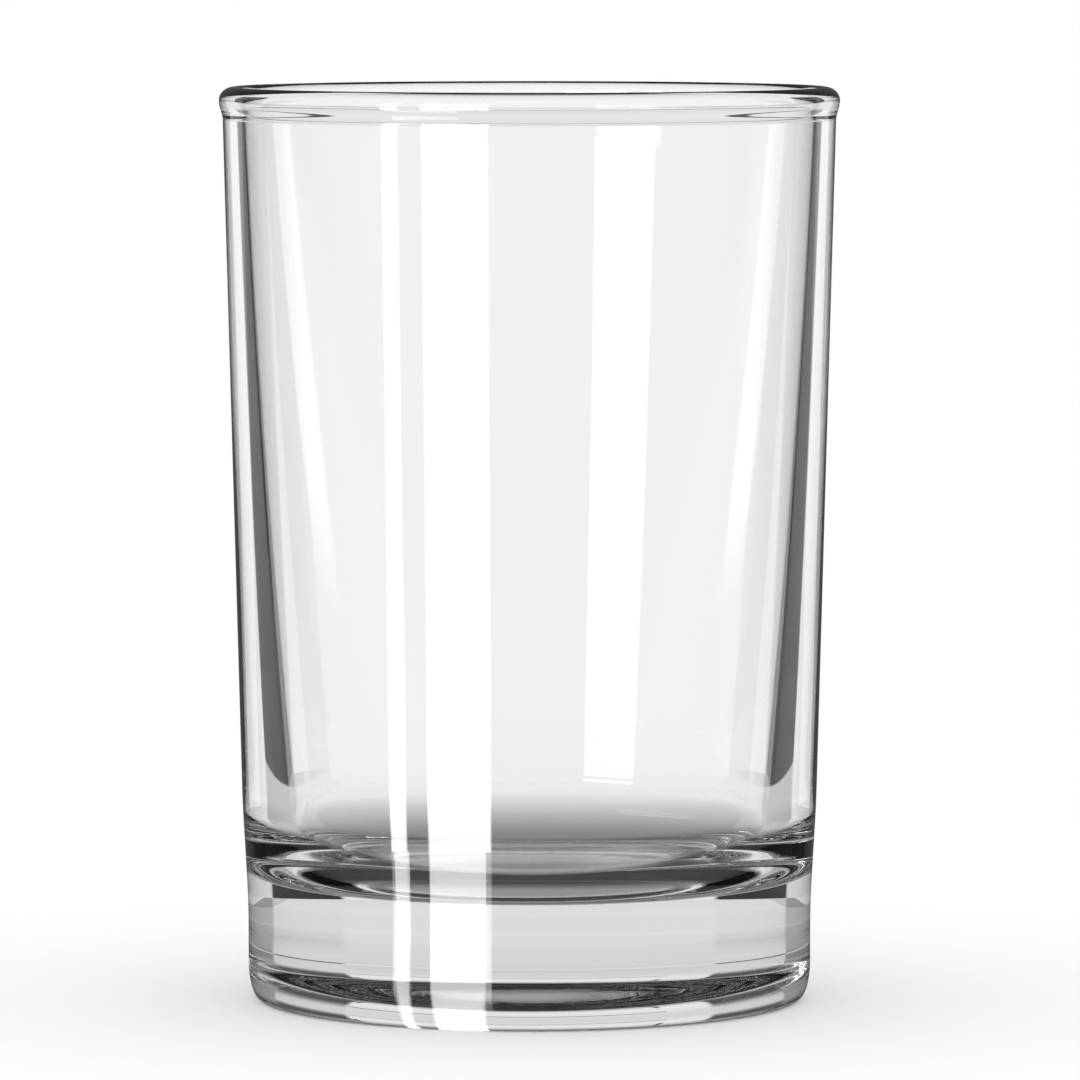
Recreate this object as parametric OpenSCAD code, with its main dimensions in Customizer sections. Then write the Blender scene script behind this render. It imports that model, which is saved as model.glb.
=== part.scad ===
// Juice glass: one revolved piece of clear glass that stands on a flat ring under its heavy base.
// Origin: centre of the bearing ring, on the surface that the glass stands on. +Z runs up to the rim.
// Lengths are in millimetres. The rim sets the width: each lower ring is stepped in from the one above.

/* [Overall] */
// Height from the bearing ring to the top of the rim
height = 88.9; // [60:0.1:130]
// Widest diameter, across the rim bead
rim_d = 60.3; // [50:0.1:75]
// Segments round the axis
round_steps = 96; // [24:12:180]

/* [Rim bead] */
// Height of the bead, from where it leaves the wall to the top of the rim
bead_h = 3.3; // [2:0.1:6]
// Height of the bead's rounded crown, above its widest ring
bead_crown_h = 1.3; // [0.8:0.05:1.8]
// How far the bead stands out from the wall
bead_overhang = 0.375; // [0:0.025:1]
// Share of the rim's width that lies outside its highest ring
crown_share = 0.6; // [0.4:0.05:0.7]

/* [Wall] */
// Thickness of the wall at the rim
wall_top_t = 2.025; // [1.2:0.025:3.5]
// Thickness of the wall at its foot, where the bore turns into the floor
wall_foot_t = 4.55; // [3:0.05:6]
// How far the outside leans in, from the bead to the wall's foot
wall_draft = 1.725; // [0:0.025:3]
// Height of the wall's foot, where the shoulder of the base starts
wall_foot_z = 20.7; // [14:0.1:40]
// Outward bow of the bore's line, half way down
bore_bow = 0.35; // [0:0.05:0.8]

/* [Floor] */
// Thickness of the glass under the middle of the floor
floor_t = 11.1; // [5:0.1:25]
// Width of the rounded corner between the bore and the floor
corner_w = 8.8; // [4:0.1:12]
// Height of that rounded corner
corner_h = 7.6; // [4:0.1:12]
// Sag of the floor's middle below the end of the rounded corner
floor_sag = 0.3; // [0:0.05:1]

/* [Base] */
// How far the base's side lies inside the wall's foot
base_inset = 0.6; // [0:0.05:1.5]
// Height of the base's upright side, where the shoulder starts
base_side_h = 7; // [5:0.1:12]
// Height of the rounded heel
heel_h = 4; // [1:0.1:4.8]
// Width of the rounded heel
heel_w = 1.4; // [0.5:0.05:3]
// Flatness of the heel's curve: 1 for a flat bevel, 0 for a quarter round, less for a fuller corner
heel_bevel = -0.15; // [-0.4:0.05:1]
// Width of the flat ring that the glass stands on
bearing_w = 3; // [1:0.1:6]
// Rise of the underside's middle above the bearing ring
push_up_h = 0.15; // [0:0.05:3]

/* [Hidden] */

// Points along each curved stretch of the profile
curve_steps = 12;
// The clear glass's colour, with its opacity last
glass_colour = [0.86, 0.90, 0.90, 0.35];

// Radii from the rim inwards
rim_r = rim_d / 2;
wall_top_r = rim_r - bead_overhang;
wall_foot_r = wall_top_r - wall_draft;
bore_top_r = wall_top_r - wall_top_t;
bore_foot_r = wall_foot_r - wall_foot_t;
base_r = wall_foot_r - base_inset;
bearing_out_r = base_r - heel_w;
bearing_in_r = bearing_out_r - bearing_w;

// Rim: the crown is a quarter of one ellipse outside its highest ring, and of a narrower one inside it
crown_z = height - bead_crown_h;
crown_out_w = (rim_r - bore_top_r) * crown_share;
crown_in_w = (rim_r - bore_top_r) * (1 - crown_share);
bead_foot_z = height - bead_h;

// Floor: the corner is a quarter of an ellipse, cut short where it meets the leaning bore
corner_z = floor_t + floor_sag + corner_h;
bore_slope = (bore_top_r - bore_foot_r + 4 * bore_bow) / (crown_z - corner_z);
corner_turn = atan(bore_slope * corner_h / corner_w);
corner_r = bore_foot_r - corner_w * cos(corner_turn);
bore_foot_z = corner_z - corner_h * sin(corner_turn);

// Slope of the wall, as radius gained for each unit of height
wall_slope = wall_draft / (bead_foot_z - wall_foot_z);

// Shares from 0 to 1 in a number of equal steps, without the 0
function shares(steps) = [for (i = [1:steps]) i / steps];

// A smooth rise from 0 to 1 that starts and ends level
function ease(share) = (1 - cos(180 * share)) / 2;

// A curve from a to b that starts upright and ends with a given gain in radius over its height
function flare(a, b, gain, share) =
    a + (b - a) * (3 - 2 * share) * share * share + gain * (share - 1) * share * share;

// The outside, from the bearing ring up to the rim's crown
function outside() = concat(
    [[bearing_out_r, 0]],
    [for (s = shares(curve_steps))
        [bearing_out_r + heel_w * pow(sin(90 * s), 1 + heel_bevel),
         heel_h * (1 - pow(sin(90 * (1 - s)), 1 + heel_bevel))]],
    [for (s = concat([0], shares(curve_steps)))
        [flare(base_r, wall_foot_r, wall_slope * (wall_foot_z - base_side_h), s),
         base_side_h + (wall_foot_z - base_side_h) * s]],
    [[wall_top_r, bead_foot_z]],
    [for (s = shares(curve_steps))
        [wall_top_r + bead_overhang * ease(s), bead_foot_z + (crown_z - bead_foot_z) * s]],
    [for (s = shares(curve_steps))
        [rim_r - crown_out_w * (1 - cos(90 * s)), crown_z + bead_crown_h * sin(90 * s)]]
);

// The inside, from the rim's crown down to the middle of the floor
function inside() = concat(
    [for (s = shares(curve_steps))
        [bore_top_r + crown_in_w * (1 - sin(90 * s)), crown_z + bead_crown_h * cos(90 * s)]],
    [for (s = shares(curve_steps))
        [bore_top_r + (bore_foot_r - bore_top_r) * s + 4 * bore_bow * s * (1 - s),
         crown_z + (bore_foot_z - crown_z) * s]],
    [for (s = shares(curve_steps))
        [corner_r + corner_w * cos(corner_turn + (90 - corner_turn) * s),
         corner_z - corner_h * sin(corner_turn + (90 - corner_turn) * s)]],
    [for (s = shares(curve_steps))
        [corner_r * (1 - s), floor_t + floor_sag * (1 - ease(s))]]
);

// The underside, from its raised middle out to the bearing ring
function underside() = concat(
    [[0, push_up_h]],
    [for (s = shares(curve_steps)) [bearing_in_r * s, push_up_h * (1 - ease(s))]]
);

module tumbler() {
    color(glass_colour)
        rotate_extrude($fn = round_steps)
            polygon(concat(underside(), outside(), inside()));
}

tumbler();
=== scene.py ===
"""Juice glass: a beaded, heavy-based tumbler of clear glass on a white table, dressed over its CAD model.

Lengths are in metres and angles in degrees. The glass is one surface of revolution about +Z that stands on
z = 0. The light is fitted to the view from the front, so it is a set of strengths by place and bearing, not
a real room.
"""
import math

import bpy
import numpy as np
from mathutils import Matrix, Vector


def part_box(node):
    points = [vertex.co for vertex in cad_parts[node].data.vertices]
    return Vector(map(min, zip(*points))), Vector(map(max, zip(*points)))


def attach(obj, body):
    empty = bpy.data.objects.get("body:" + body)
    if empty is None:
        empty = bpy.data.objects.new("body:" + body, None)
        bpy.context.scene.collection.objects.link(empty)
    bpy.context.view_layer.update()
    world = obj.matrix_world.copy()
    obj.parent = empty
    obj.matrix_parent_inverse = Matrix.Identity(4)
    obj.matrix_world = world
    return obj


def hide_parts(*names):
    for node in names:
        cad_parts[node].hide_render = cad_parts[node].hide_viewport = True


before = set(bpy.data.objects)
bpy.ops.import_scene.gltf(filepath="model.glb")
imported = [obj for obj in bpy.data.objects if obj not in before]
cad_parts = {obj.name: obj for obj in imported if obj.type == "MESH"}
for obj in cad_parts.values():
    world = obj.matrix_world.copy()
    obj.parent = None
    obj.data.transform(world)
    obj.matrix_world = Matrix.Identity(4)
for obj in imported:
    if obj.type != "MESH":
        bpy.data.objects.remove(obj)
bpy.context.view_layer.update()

scene = bpy.context.scene
MM = 0.001


# Camera

CAMERA_AWAY = 0.8273
CAMERA_HEIGHT = 0.1054
CAMERA_TILT = 4.192


def make_camera():
    """A long lens just above the rim looks along +Y and slightly down. A small shift centres the glass."""
    data = bpy.data.cameras.new("camera")
    data.sensor_fit = "HORIZONTAL"
    data.sensor_width = 36.0
    data.lens = 283.65
    data.shift_x = 0.0098
    data.clip_start = 0.01
    camera = bpy.data.objects.new("camera", data)
    camera.location = (0.0, -CAMERA_AWAY, CAMERA_HEIGHT)
    camera.rotation_euler = (math.radians(90.0 - CAMERA_TILT), 0.0, 0.0)
    scene.collection.objects.link(camera)
    scene.camera = camera
    return camera


make_camera()


# Profile of the glass

FLAT_STEPS = 12
CURVE_STEPS = 24
FLOOR_STEPS = 36
CORNER_STEPS = 72
ROUND_STEPS = 280


def ease(share):
    """Rises from 0 to 1 along half a cosine wave, level at both ends."""
    return (1.0 - np.cos(np.pi * share)) / 2.0


def stretch(steps):
    """Even shares from just over 0 to 1."""
    return np.arange(1, steps + 1) / steps


def glass_profile():
    """Radius and height of every ring, from the underside's middle out, up the outside and down the inside.

    Underside: rises to its middle along half a cosine wave. Heel: radius and height follow sines raised to
    one power. Shoulder: a cubic that starts upright and ends on the wall's slope. Bead: half a cosine wave
    outwards, then a quarter ellipse on each side of the crown. Bore: a straight line with a parabola's bow.
    Corner: a quarter ellipse cut short at the bore's slope. Floor: half a cosine wave down to its middle.
    """
    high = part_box("tumbler")[1]
    height, rim_r = high[2], high[0]
    bead_h, crown_h, overhang, crown_share = 3.3 * MM, 1.3 * MM, 0.375 * MM, 0.6
    wall_top_t, wall_foot_t, draft = 2.025 * MM, 4.55 * MM, 1.725 * MM
    wall_foot_z, bow = 20.7 * MM, 0.35 * MM
    floor_t, corner_w, corner_h, floor_sag = 11.1 * MM, 8.8 * MM, 7.6 * MM, 0.3 * MM
    base_inset, side_h = 0.6 * MM, 7.0 * MM
    heel_h, heel_w, heel_power = 4.0 * MM, 1.4 * MM, 0.85
    bearing_w, push_up_h = 3.0 * MM, 0.15 * MM

    wall_top_r = rim_r - overhang
    wall_foot_r = wall_top_r - draft
    bore_top_r = wall_top_r - wall_top_t
    bore_foot_r = wall_foot_r - wall_foot_t
    base_r = wall_foot_r - base_inset
    bearing_out_r = base_r - heel_w
    bearing_in_r = bearing_out_r - bearing_w
    crown_z, bead_foot_z = height - crown_h, height - bead_h
    rim_t = rim_r - bore_top_r
    corner_z = floor_t + floor_sag + corner_h
    bore_slope = (bore_top_r - bore_foot_r + 4 * bow) / (crown_z - corner_z)
    turn = math.atan(bore_slope * corner_h / corner_w)
    corner_r = bore_foot_r - corner_w * math.cos(turn)
    bore_foot_z = corner_z - corner_h * math.sin(turn)
    wall_slope = draft / (bead_foot_z - wall_foot_z)

    parts = [np.array([[0.0, push_up_h]])]
    s = stretch(FLAT_STEPS)
    parts.append(np.stack([bearing_in_r * s, push_up_h * (1 - ease(s))], 1))
    parts.append(np.array([[bearing_out_r, 0.0]]))
    s = stretch(CURVE_STEPS)
    parts.append(np.stack([bearing_out_r + heel_w * np.sin(np.pi / 2 * s) ** heel_power,
                           heel_h * (1 - np.sin(np.pi / 2 * (1 - s)) ** heel_power)], 1))
    s = np.concatenate([[0.0], stretch(CURVE_STEPS)])
    gain = wall_slope * (wall_foot_z - side_h)
    parts.append(np.stack([base_r + (wall_foot_r - base_r) * (3 - 2 * s) * s ** 2 + gain * (s - 1) * s ** 2,
                           side_h + (wall_foot_z - side_h) * s], 1))
    parts.append(np.array([[wall_top_r, bead_foot_z]]))
    s = stretch(CURVE_STEPS)
    parts.append(np.stack([wall_top_r + overhang * ease(s), bead_foot_z + (crown_z - bead_foot_z) * s], 1))
    a = np.pi / 2 * s
    parts.append(np.stack([rim_r - rim_t * crown_share * (1 - np.cos(a)), crown_z + crown_h * np.sin(a)], 1))
    parts.append(np.stack([bore_top_r + rim_t * (1 - crown_share) * (1 - np.sin(a)),
                           crown_z + crown_h * np.cos(a)], 1))
    parts.append(np.stack([bore_top_r + (bore_foot_r - bore_top_r) * s + 4 * bow * s * (1 - s),
                           crown_z + (bore_foot_z - crown_z) * s], 1))
    s = stretch(CORNER_STEPS)
    a = turn + (np.pi / 2 - turn) * s
    parts.append(np.stack([corner_r + corner_w * np.cos(a), corner_z - corner_h * np.sin(a)], 1))
    s = stretch(FLOOR_STEPS)
    parts.append(np.stack([corner_r * (1 - s), floor_t + floor_sag * (1 - ease(s))], 1))
    return np.concatenate(parts)


def with_edge_rings(points, near=0.012 * MM, longest=0.7 * MM):
    """Adds a ring just inside both ends of every long step, so that flats stay flat beside a sharp turn."""
    step = np.diff(points, axis=0)
    length = np.hypot(step[:, 0], step[:, 1])
    unit = step / length[:, None]
    at = np.arange(len(points), dtype=float)
    long = np.nonzero(length > longest)[0]
    extra = np.concatenate([points[long] + unit[long] * near, points[long + 1] - unit[long] * near])
    just_after, just_before = 0.1, 0.9
    order = np.argsort(np.concatenate([at, long + just_after, long + just_before]), kind="stable")
    return np.concatenate([points, extra])[order]


def revolve(name, profile, around):
    """Turns a profile of radius and height about +Z: x = r cos t, y = r sin t, z = h, for t over one turn.

    The profile's first and last points lie on the axis, and each closes the skin with a fan.
    """
    rings = profile[1:-1]
    count = len(rings)
    turn = 2 * np.pi * np.arange(around) / around
    grid = np.empty((count, around, 3))
    grid[..., 0] = rings[:, :1] * np.cos(turn)
    grid[..., 1] = rings[:, :1] * np.sin(turn)
    grid[..., 2] = rings[:, 1:]
    poles = np.array([[0, 0, profile[0, 1]], [0, 0, profile[-1, 1]]])
    points = np.concatenate([grid.reshape(-1, 3), poles])
    first = np.arange(count - 1)[:, None] * around
    here = np.arange(around)[None]
    then = (here + 1) % around
    quads = np.stack([first + here, first + then, first + around + then, first + around + here], -1)
    quads = quads.reshape(-1, 4)
    under = np.stack([np.full(around, count * around), then[0], here[0]], 1)
    last = (count - 1) * around
    over = np.stack([np.full(around, count * around + 1), last + here[0], last + then[0]], 1)
    corners = np.concatenate([quads.ravel(), under.ravel(), over.ravel()])
    sides = np.concatenate([np.full(len(quads), 4), np.full(2 * around, 3)])
    mesh = bpy.data.meshes.new(name)
    mesh.vertices.add(len(points))
    mesh.vertices.foreach_set("co", points.ravel())
    mesh.loops.add(len(corners))
    mesh.loops.foreach_set("vertex_index", corners.astype(np.int32))
    mesh.polygons.add(len(sides))
    mesh.polygons.foreach_set("loop_start", (np.cumsum(sides) - sides).astype(np.int32))
    mesh.polygons.foreach_set("use_smooth", np.ones(len(sides), dtype=bool))
    mesh.update(calc_edges=True)
    mesh.validate()
    piece = bpy.data.objects.new(name, mesh)
    scene.collection.objects.link(piece)
    return piece


# Small kit for node trees

def new_material(name):
    """A node material, with its tree and its Principled BSDF."""
    material = bpy.data.materials.new(name)
    material.use_nodes = True
    return material, material.node_tree, material.node_tree.nodes["Principled BSDF"]


class Net:
    """A node tree with sums written as calls: numbers set a socket, sockets are joined to it."""

    def __init__(self, tree):
        self.tree = tree

    def node(self, kind, **settings):
        """A new node with its settings."""
        made = self.tree.nodes.new(kind)
        for key, value in settings.items():
            setattr(made, key, value)
        return made

    def put(self, value, socket):
        """Joins a socket to this one, or sets this one to a number."""
        if isinstance(value, bpy.types.NodeSocket):
            self.tree.links.new(value, socket)
        else:
            socket.default_value = value

    def sum(self, operation, *values, clamp=False):
        """One sum of sockets and numbers."""
        made = self.node("ShaderNodeMath", operation=operation, use_clamp=clamp)
        for value, socket in zip(values, made.inputs):
            self.put(value, socket)
        return made.outputs[0]

    def away(self, x, y):
        """Distance from the axis."""
        return self.sum("SQRT", self.sum("ADD", self.sum("MULTIPLY", x, x), self.sum("MULTIPLY", y, y)))

    def between(self, value, low, high, soft):
        """1 where value lies between low and high, with straight ramps of width soft centred on both."""
        up = self.sum("MULTIPLY_ADD", value, 1 / soft, 0.5 - low / soft, clamp=True)
        down = self.sum("MULTIPLY_ADD", value, -1 / soft, 0.5 + high / soft, clamp=True)
        return self.sum("MULTIPLY", up, down)

    def ramp(self, value, stops):
        """A strength from 0 to 1 that runs straight from stop to stop."""
        made = self.node("ShaderNodeValToRGB")
        self.put(value, made.inputs[0])
        points = made.color_ramp.elements
        points[0].position, points[1].position = stops[0][0], stops[-1][0]
        points[0].color, points[1].color = [(v, v, v, 1.0) for v in (stops[0][1], stops[-1][1])]
        for place, strength in stops[1:-1]:
            points.new(place).color = (strength, strength, strength, 1.0)
        return made.outputs[0]

    def mix(self, share, first, second):
        """The first shader where share is 0, the second where it is 1."""
        made = self.node("ShaderNodeMixShader")
        self.put(share, made.inputs[0])
        self.put(first, made.inputs[1])
        self.put(second, made.inputs[2])
        return made.outputs[0]

    def light(self, kind, strength):
        """White light of one strength, given off by a surface or the background."""
        made = self.node(kind)
        made.inputs["Color"].default_value = (1.0, 1.0, 1.0, 1.0)
        self.put(strength, made.inputs["Strength"])
        return made.outputs[0]


# Glass

def clear_glass():
    """Clear, polished soda-lime glass: faint mould waves, turned ripples on the floor and a worn foot."""
    wave_scale, wave_stretch, wave_h = 70.0, 3.0, 0.02 * MM
    ripple_step, ripple_h, ripple_scale, ripple_wander = 4.0 * MM, 0.005 * MM, 40.0, 4.0
    floor_r, floor_low, floor_high, floor_soft = 22.0 * MM, 5.0 * MM, 19.0 * MM, 3.0 * MM
    foot_z, foot_scale, foot_h = 0.01 * MM, 700.0, 0.01 * MM
    speck_scale, speck_gain, speck_base = 1500.0, 0.5, 0.02

    material, tree, shader = new_material("clear_glass")
    shader.inputs["Base Color"].default_value = (0.98, 0.982, 0.981, 1.0)
    shader.inputs["IOR"].default_value = 1.52
    shader.inputs["Metallic"].default_value = 0.0
    shader.inputs["Transmission Weight"].default_value = 1.0
    net = Net(tree)
    point = net.node("ShaderNodeTexCoord").outputs["Object"]
    place = net.node("ShaderNodeSeparateXYZ")
    tree.links.new(point, place.inputs[0])
    x, y, z = place.outputs
    away = net.away(x, y)

    def noise(scale, detail, tall=1.0):
        """Noise about 0 at every point, drawn out along the height."""
        stretched = net.node("ShaderNodeVectorMath", operation="MULTIPLY")
        tree.links.new(point, stretched.inputs[0])
        stretched.inputs[1].default_value = (1.0, 1.0, 1.0 / tall)
        made = net.node("ShaderNodeTexNoise")
        tree.links.new(stretched.outputs[0], made.inputs["Vector"])
        made.inputs["Scale"].default_value = scale
        made.inputs["Detail"].default_value = detail
        return net.sum("SUBTRACT", made.outputs[0], 0.5)

    # heights: the mould's waves, then rings on the floor, then the worn bearing ring
    height = net.sum("MULTIPLY", noise(wave_scale, detail=1.0, tall=wave_stretch), wave_h)
    turns = net.sum("MULTIPLY_ADD", noise(ripple_scale, detail=1.0), ripple_wander,
                    net.sum("MULTIPLY", away, 2 * math.pi / ripple_step))
    floor = net.sum("MULTIPLY", net.between(away, -1.0, floor_r, floor_soft),
                    net.between(z, floor_low, floor_high, floor_soft))
    height = net.sum("MULTIPLY_ADD", net.sum("MULTIPLY", net.sum("SINE", turns), floor), ripple_h, height)
    foot = net.sum("LESS_THAN", z, foot_z)
    height = net.sum("MULTIPLY_ADD", net.sum("MULTIPLY", noise(foot_scale, detail=3.0), foot), foot_h, height)
    bump = net.node("ShaderNodeBump")
    bump.inputs["Distance"].default_value = 1.0
    tree.links.new(height, bump.inputs["Height"])
    tree.links.new(bump.outputs[0], shader.inputs["Normal"])
    # polished all over, dulled in specks where it stands
    specks = net.sum("MULTIPLY_ADD", noise(speck_scale, detail=2.0), speck_gain, speck_base, clamp=True)
    tree.links.new(net.sum("MULTIPLY", specks, foot), shader.inputs["Roughness"])
    body = net.node("ShaderNodeVolumeAbsorption")
    body.inputs["Color"].default_value = (0.822, 0.826, 0.824, 1.0)
    body.inputs["Density"].default_value = 15.0
    tree.links.new(body.outputs["Volume"], tree.nodes["Material Output"].inputs["Volume"])
    return material


glass = revolve("tumbler_glass", with_edge_rings(glass_profile()), ROUND_STEPS)
glass.data.materials.append(clear_glass())
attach(glass, "root")
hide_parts("tumbler")


# Table

# painted light that the plate gives off, by share of PLATE_REACH away from the axis: dim under and near the
# glass as a painted shadow of it, brighter further out
PLATE_REACH = 0.2
PLATE_LIGHT = ((0.0, 0.12), (0.02, 0.13), (0.045, 0.3), (0.075, 0.32), (0.1, 0.06), (0.138, 0.06),
               (0.155, 0.2), (0.2, 0.27), (0.225, 0.42), (0.265, 0.62), (0.325, 0.81), (0.385, 0.93),
               (0.5, 0.93), (0.6, 1.0))
PLATE_GAIN = 1.08
PLATE_IOR = 1.5
# from the front of the glass, where the two lamps' light meets the base, for the plate's painted reflection
# of them
LAMP_TURNS = ((8.6, 20.4), (24.4, 27.9))


def make_plate(near_r=0.106, far_r=0.165, below=0.05 * MM, around=360):
    """A flat disc just under the glass, wider behind it, over 30 degrees round from +X and from -X."""
    turn = 2 * np.pi * np.arange(around) / around
    ramp_from, ramp_width = 0.5, 0.1
    radius = near_r + (far_r - near_r) * np.clip((np.sin(turn) - ramp_from) / ramp_width, 0.0, 1.0)
    points = np.stack([radius * np.cos(turn), radius * np.sin(turn), np.full(around, -below)], 1)
    mesh = bpy.data.meshes.new("table")
    mesh.from_pydata(points.tolist(), [], [list(range(around))])
    plate = bpy.data.objects.new("table", mesh)
    scene.collection.objects.link(plate)
    return plate


def lit_region(net, x, y, face):
    """1 on the lit part of the plate, 0 on its painted shade at both sides. Two slanting lines a side bound
    it, for light that meets it flat.
    """
    edge = 1000.0
    near_slope, near_x = 0.322, 106.0 * MM
    far_slope, far_x = -0.577, 31.4 * MM
    steep_gain, steep_base = -12.0, 3.2
    aside = net.sum("ABSOLUTE", x)
    near = net.sum("MULTIPLY_ADD", net.sum("MULTIPLY_ADD", y, near_slope, aside), -edge, edge * near_x,
                   clamp=True)
    far = net.sum("MULTIPLY_ADD", net.sum("MULTIPLY_ADD", y, far_slope, aside), -edge, edge * far_x,
                  clamp=True)
    steep = net.sum("MULTIPLY_ADD", face, steep_gain, steep_base, clamp=True)
    return net.sum("MAXIMUM", net.sum("MAXIMUM", near, far), steep)


def painted_lamp_reflection(net, x, y, base_r=27.5 * MM, edge=1500.0, front=-22.0 * MM):
    """1 on the plate where the outside of the base mirrors the two lamps towards the camera, where the plate
    glows as a painted reflection of them.

    A glass of radius R turns light that meets it at the angle t from the front along the line
    R sin t = x cos 2t - y sin 2t, so each patch lies between two such lines.
    """
    patches = None
    for turns in LAMP_TURNS:
        first, last = (net.sum("MULTIPLY_ADD", y, math.sin(2 * t),
                               net.sum("MULTIPLY_ADD", x, -math.cos(2 * t), base_r * math.sin(t)))
                       for t in map(math.radians, turns))
        patch = net.sum("MULTIPLY", net.sum("MULTIPLY", first, edge, clamp=True),
                        net.sum("MULTIPLY", last, -edge, clamp=True))
        patches = patch if patches is None else net.sum("ADD", patches, patch)
    return net.sum("MULTIPLY", patches, net.sum("LESS_THAN", y, front))


def make_table():
    """A round plate that is matt white to the camera, and to the glass a clear polished sheet over painted
    light.

    Its painted light follows PLATE_LIGHT, with a painted shadow of the glass near it and painted shade at the
    sides. What the outside of the glass mirrors is dimmer, apart from the lamps' patches of painted
    reflection.
    """
    painted_lamp_strength, mirrored_share = 17.0, 0.1
    table = make_plate()
    material, tree, matt = new_material("table")
    matt.inputs["Base Color"].default_value = (0.9, 0.9, 0.9, 1.0)
    matt.inputs["Roughness"].default_value = 0.9
    matt.inputs["Specular IOR Level"].default_value = 0.0
    net = Net(tree)
    place = net.node("ShaderNodeSeparateXYZ")
    tree.links.new(net.node("ShaderNodeTexCoord").outputs["Object"], place.inputs[0])
    x, y = place.outputs[0], place.outputs[1]
    face = net.node("ShaderNodeFresnel")
    face.inputs["IOR"].default_value = PLATE_IOR
    fresnel = face.outputs[0]
    path = net.node("ShaderNodeLightPath")
    entered = net.sum("GREATER_THAN", path.outputs["Transmission Depth"], 0.5)

    # painted light of the plate, dim near the glass as its painted shadow
    lit = net.ramp(net.sum("DIVIDE", net.away(x, y), PLATE_REACH), PLATE_LIGHT)
    lit = net.sum("MULTIPLY", lit, PLATE_GAIN)
    # painted shade: the plate goes dark at both sides beyond the slanting lines, where light meets it at a
    # shallow angle
    lit = net.sum("MULTIPLY", lit, lit_region(net, x, y, fresnel))
    lit = net.sum("MULTIPLY", lit, net.sum("MULTIPLY_ADD", entered, 1.0 - mirrored_share, mirrored_share))
    # painted reflection of the lamps: the plate glows in these patches for light that the outside of the
    # glass mirrors
    painted_lamp_glow = net.sum("MULTIPLY", painted_lamp_reflection(net, x, y),
                   net.sum("MULTIPLY_ADD", entered, -painted_lamp_strength, painted_lamp_strength))
    lit = net.sum("ADD", lit, painted_lamp_glow)
    # a clear sheet mirrors with both of its faces: 2F / (1 + F)
    mirror = net.sum("DIVIDE", net.sum("MULTIPLY", fresnel, 2.0), net.sum("ADD", fresnel, 1.0))
    gloss = net.node("ShaderNodeBsdfGlossy")
    gloss.inputs["Color"].default_value = (1.0, 1.0, 1.0, 1.0)
    gloss.inputs["Roughness"].default_value = 0.0
    seen = net.mix(mirror, net.light("ShaderNodeEmission", lit), gloss.outputs[0])
    out = tree.nodes["Material Output"]
    tree.links.new(net.mix(path.outputs["Is Camera Ray"], seen, matt.outputs[0]), out.inputs["Surface"])
    table.data.materials.append(material)
    return table


# Light

# Strengths at a number of rises above the horizon. The first three are met by light that has passed through
# the glass, behind it, on both flanks and at the sides; the last two by light that its outside mirrors.
BACK = ((-90, 1.0), (-0.3, 1.0), (0.0, 0.75), (3, 0.8), (6, 0.85), (8, 0.95), (12, 1.0), (16, 1.0),
        (20, 0.75), (26, 0.5), (35, 0.25), (45, 0.2), (58, 0.2), (64, 0.05), (90, 0.03))
FLANK = ((-90, 1.0), (-20, 1.0), (-15, 0.03), (-0.3, 0.03), (0.0, 0.8), (6, 0.8), (8.5, 0.3), (11, 0.1),
         (18, 0.1), (23, 0.3), (58, 0.3), (64, 0.05), (90, 0.03))
SIDE = ((-90, 0.9), (-0.3, 0.9), (0.0, 0.3), (5, 0.4), (9, 0.4), (16, 0.15), (26, 0.06), (90, 0.03))
ROOM = ((-90, 0.1), (-0.3, 0.1), (0.0, 0.1), (30, 0.1), (60, 0.05), (90, 0.03))
LAMP = ((-90, 0.0), (-18, 0.0), (-16, 18.0), (-8.5, 18.0), (-7.5, 3.5), (3, 3.5), (6, 9.0), (24, 9.0),
        (27, 0.0), (90, 0.0))
# Bearings from +Y: where back, flank and side meet, and the two front lamps
BACK_EDGE, FLANK_EDGE, EDGE_SOFT = 30.0, 56.0, 1.5
FRONT_LAMPS = ((-164.6, -139.2), (-129.8, -122.9))
# Windows of lowest and highest bearing, then lowest and highest rise
FRAME_OUTSIDE = (-20.5, 29.5, 7.25, 40.0)
FRAME_INSIDE = (-19.5, 28.5, 7.65, 39.0)
FRAME_OPEN_FOOT = (-21.0, 30.0, 7.65, 15.0)
SEAM = (8.0, 10.6, -7.5, -1.0)
POST = (27.0, 42.0, -20.0, 0.0)
# The lamp that the back wall mirrors, then the lowest rise, highest rise and softness of its two stretches
BACK_LAMP_BEARINGS = (-152.0, -125.0)
BACK_LAMP_RISES = ((-1.1, 4.5, 0.5), (9.0, 14.0, 1.0))
FAR = 999.0
FLOOR_LIGHT = 1.16


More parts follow.
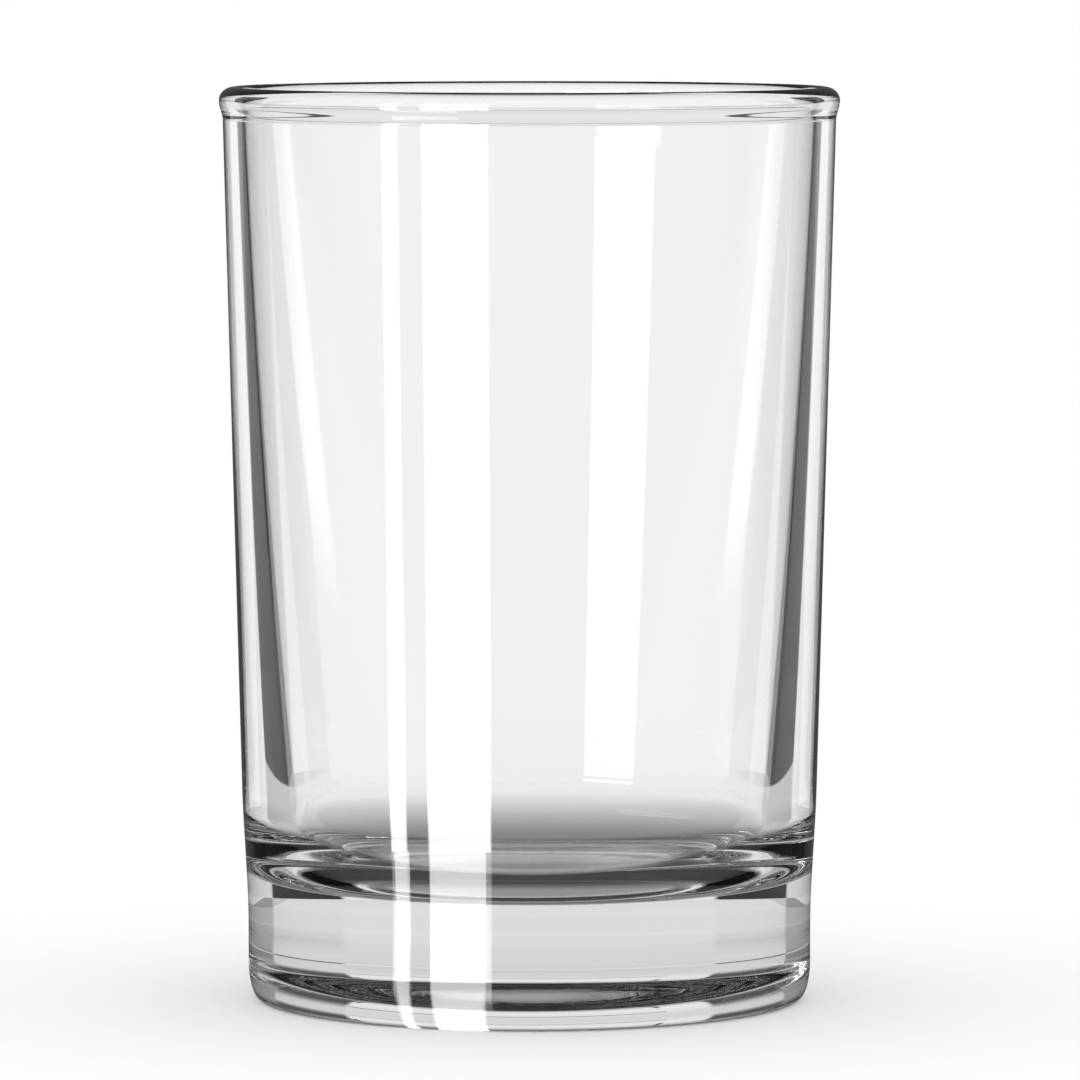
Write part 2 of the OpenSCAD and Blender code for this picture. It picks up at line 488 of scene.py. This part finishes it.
def make_world():
    """White all round to the camera, and an even light on the floor.

    Light that has passed through the glass meets a lit back with a dark frame and faint seams, two flanks
    that are dark near the horizon, softer sides, and a lamp that the back wall mirrors. Light that the
    outside mirrors meets a dim room with two posts and two tall lamps in front on the left.
    """
    frame_dim, seam_light, back_lamp_light, post_light = -0.9, 0.2, 4.0, 0.7
    world = bpy.data.worlds.new("studio")
    scene.world = world
    world.use_nodes = True
    world.cycles.sampling_method = "NONE"
    tree = world.node_tree
    tree.nodes.clear()
    net = Net(tree)
    ray = net.node("ShaderNodeSeparateXYZ")
    tree.links.new(net.node("ShaderNodeTexCoord").outputs["Generated"], ray.inputs[0])
    x, y, z = ray.outputs
    degrees = 180.0 / math.pi
    bearing = net.sum("MULTIPLY", net.sum("ARCTAN2", x, y), degrees)
    off = net.sum("ABSOLUTE", bearing)
    rise = net.sum("MULTIPLY", net.sum("ARCSINE", z), degrees)
    share = net.sum("MULTIPLY_ADD", rise, 1 / 180.0, 0.5)

    def strip(stops):
        """A strength that follows the rise."""
        top = max(strength for _, strength in stops)
        made = net.ramp(share, tuple(((angle + 90.0) / 180.0, strength / top) for angle, strength in stops))
        return net.sum("MULTIPLY", made, top)

    def window(across, edges, soft, rise_soft):
        """1 inside a window of across, which is the bearing or its size, and of the rise."""
        return net.sum("MULTIPLY", net.between(across, edges[0], edges[1], soft),
                       net.between(rise, edges[2], edges[3], rise_soft))

    # what light that has passed through the glass meets
    lit = net.sum("MULTIPLY", net.between(off, -FAR, BACK_EDGE, EDGE_SOFT), strip(BACK))
    lit = net.sum("MULTIPLY_ADD", net.between(off, BACK_EDGE, FLANK_EDGE, EDGE_SOFT), strip(FLANK), lit)
    lit = net.sum("MULTIPLY_ADD", net.between(off, FLANK_EDGE, FAR, EDGE_SOFT), strip(SIDE), lit)
    outside, inside, open_foot = (window(bearing, edges, soft=0.3, rise_soft=0.1)
                                  for edges in (FRAME_OUTSIDE, FRAME_INSIDE, FRAME_OPEN_FOOT))
    frame_line = net.sum("SUBTRACT", outside, net.sum("MAXIMUM", inside, open_foot), clamp=True)
    lit = net.sum("MULTIPLY", lit, net.sum("MULTIPLY_ADD", frame_line, frame_dim, 1.0))
    lit = net.sum("MULTIPLY_ADD", window(off, SEAM, soft=0.5, rise_soft=1.5), seam_light, lit)
    tall = net.sum("ADD", *(net.between(rise, *edges) for edges in BACK_LAMP_RISES))
    back_lamp = net.sum("MULTIPLY", net.between(bearing, *BACK_LAMP_BEARINGS, soft=1.0), tall)
    lit = net.sum("MULTIPLY_ADD", back_lamp, back_lamp_light, lit)

    # what the outside of the glass mirrors
    room = net.sum("MULTIPLY_ADD", window(off, POST, soft=2.0, rise_soft=1.0), post_light, strip(ROOM))
    lamp = strip(LAMP)
    for low, high in FRONT_LAMPS:
        room = net.sum("MULTIPLY_ADD", net.between(bearing, low, high, soft=1.0), lamp, room)

    path = net.node("ShaderNodeLightPath")
    entered = net.sum("GREATER_THAN", path.outputs["Transmission Depth"], 0.5)
    lit = net.sum("MULTIPLY_ADD", entered, net.sum("SUBTRACT", lit, room), room)
    spread = net.sum("GREATER_THAN", path.outputs["Diffuse Depth"], 0.5)
    seen = net.mix(spread, net.light("ShaderNodeBackground", lit),
                   net.light("ShaderNodeBackground", FLOOR_LIGHT))
    seen = net.mix(path.outputs["Is Camera Ray"], seen, net.light("ShaderNodeBackground", 1.0))
    tree.links.new(seen, net.node("ShaderNodeOutputWorld").inputs["Surface"])


make_table()
make_world()
scene.cycles.glossy_bounces = 12  # light runs round inside the base by total reflection
scene.view_settings.view_transform = "Standard"
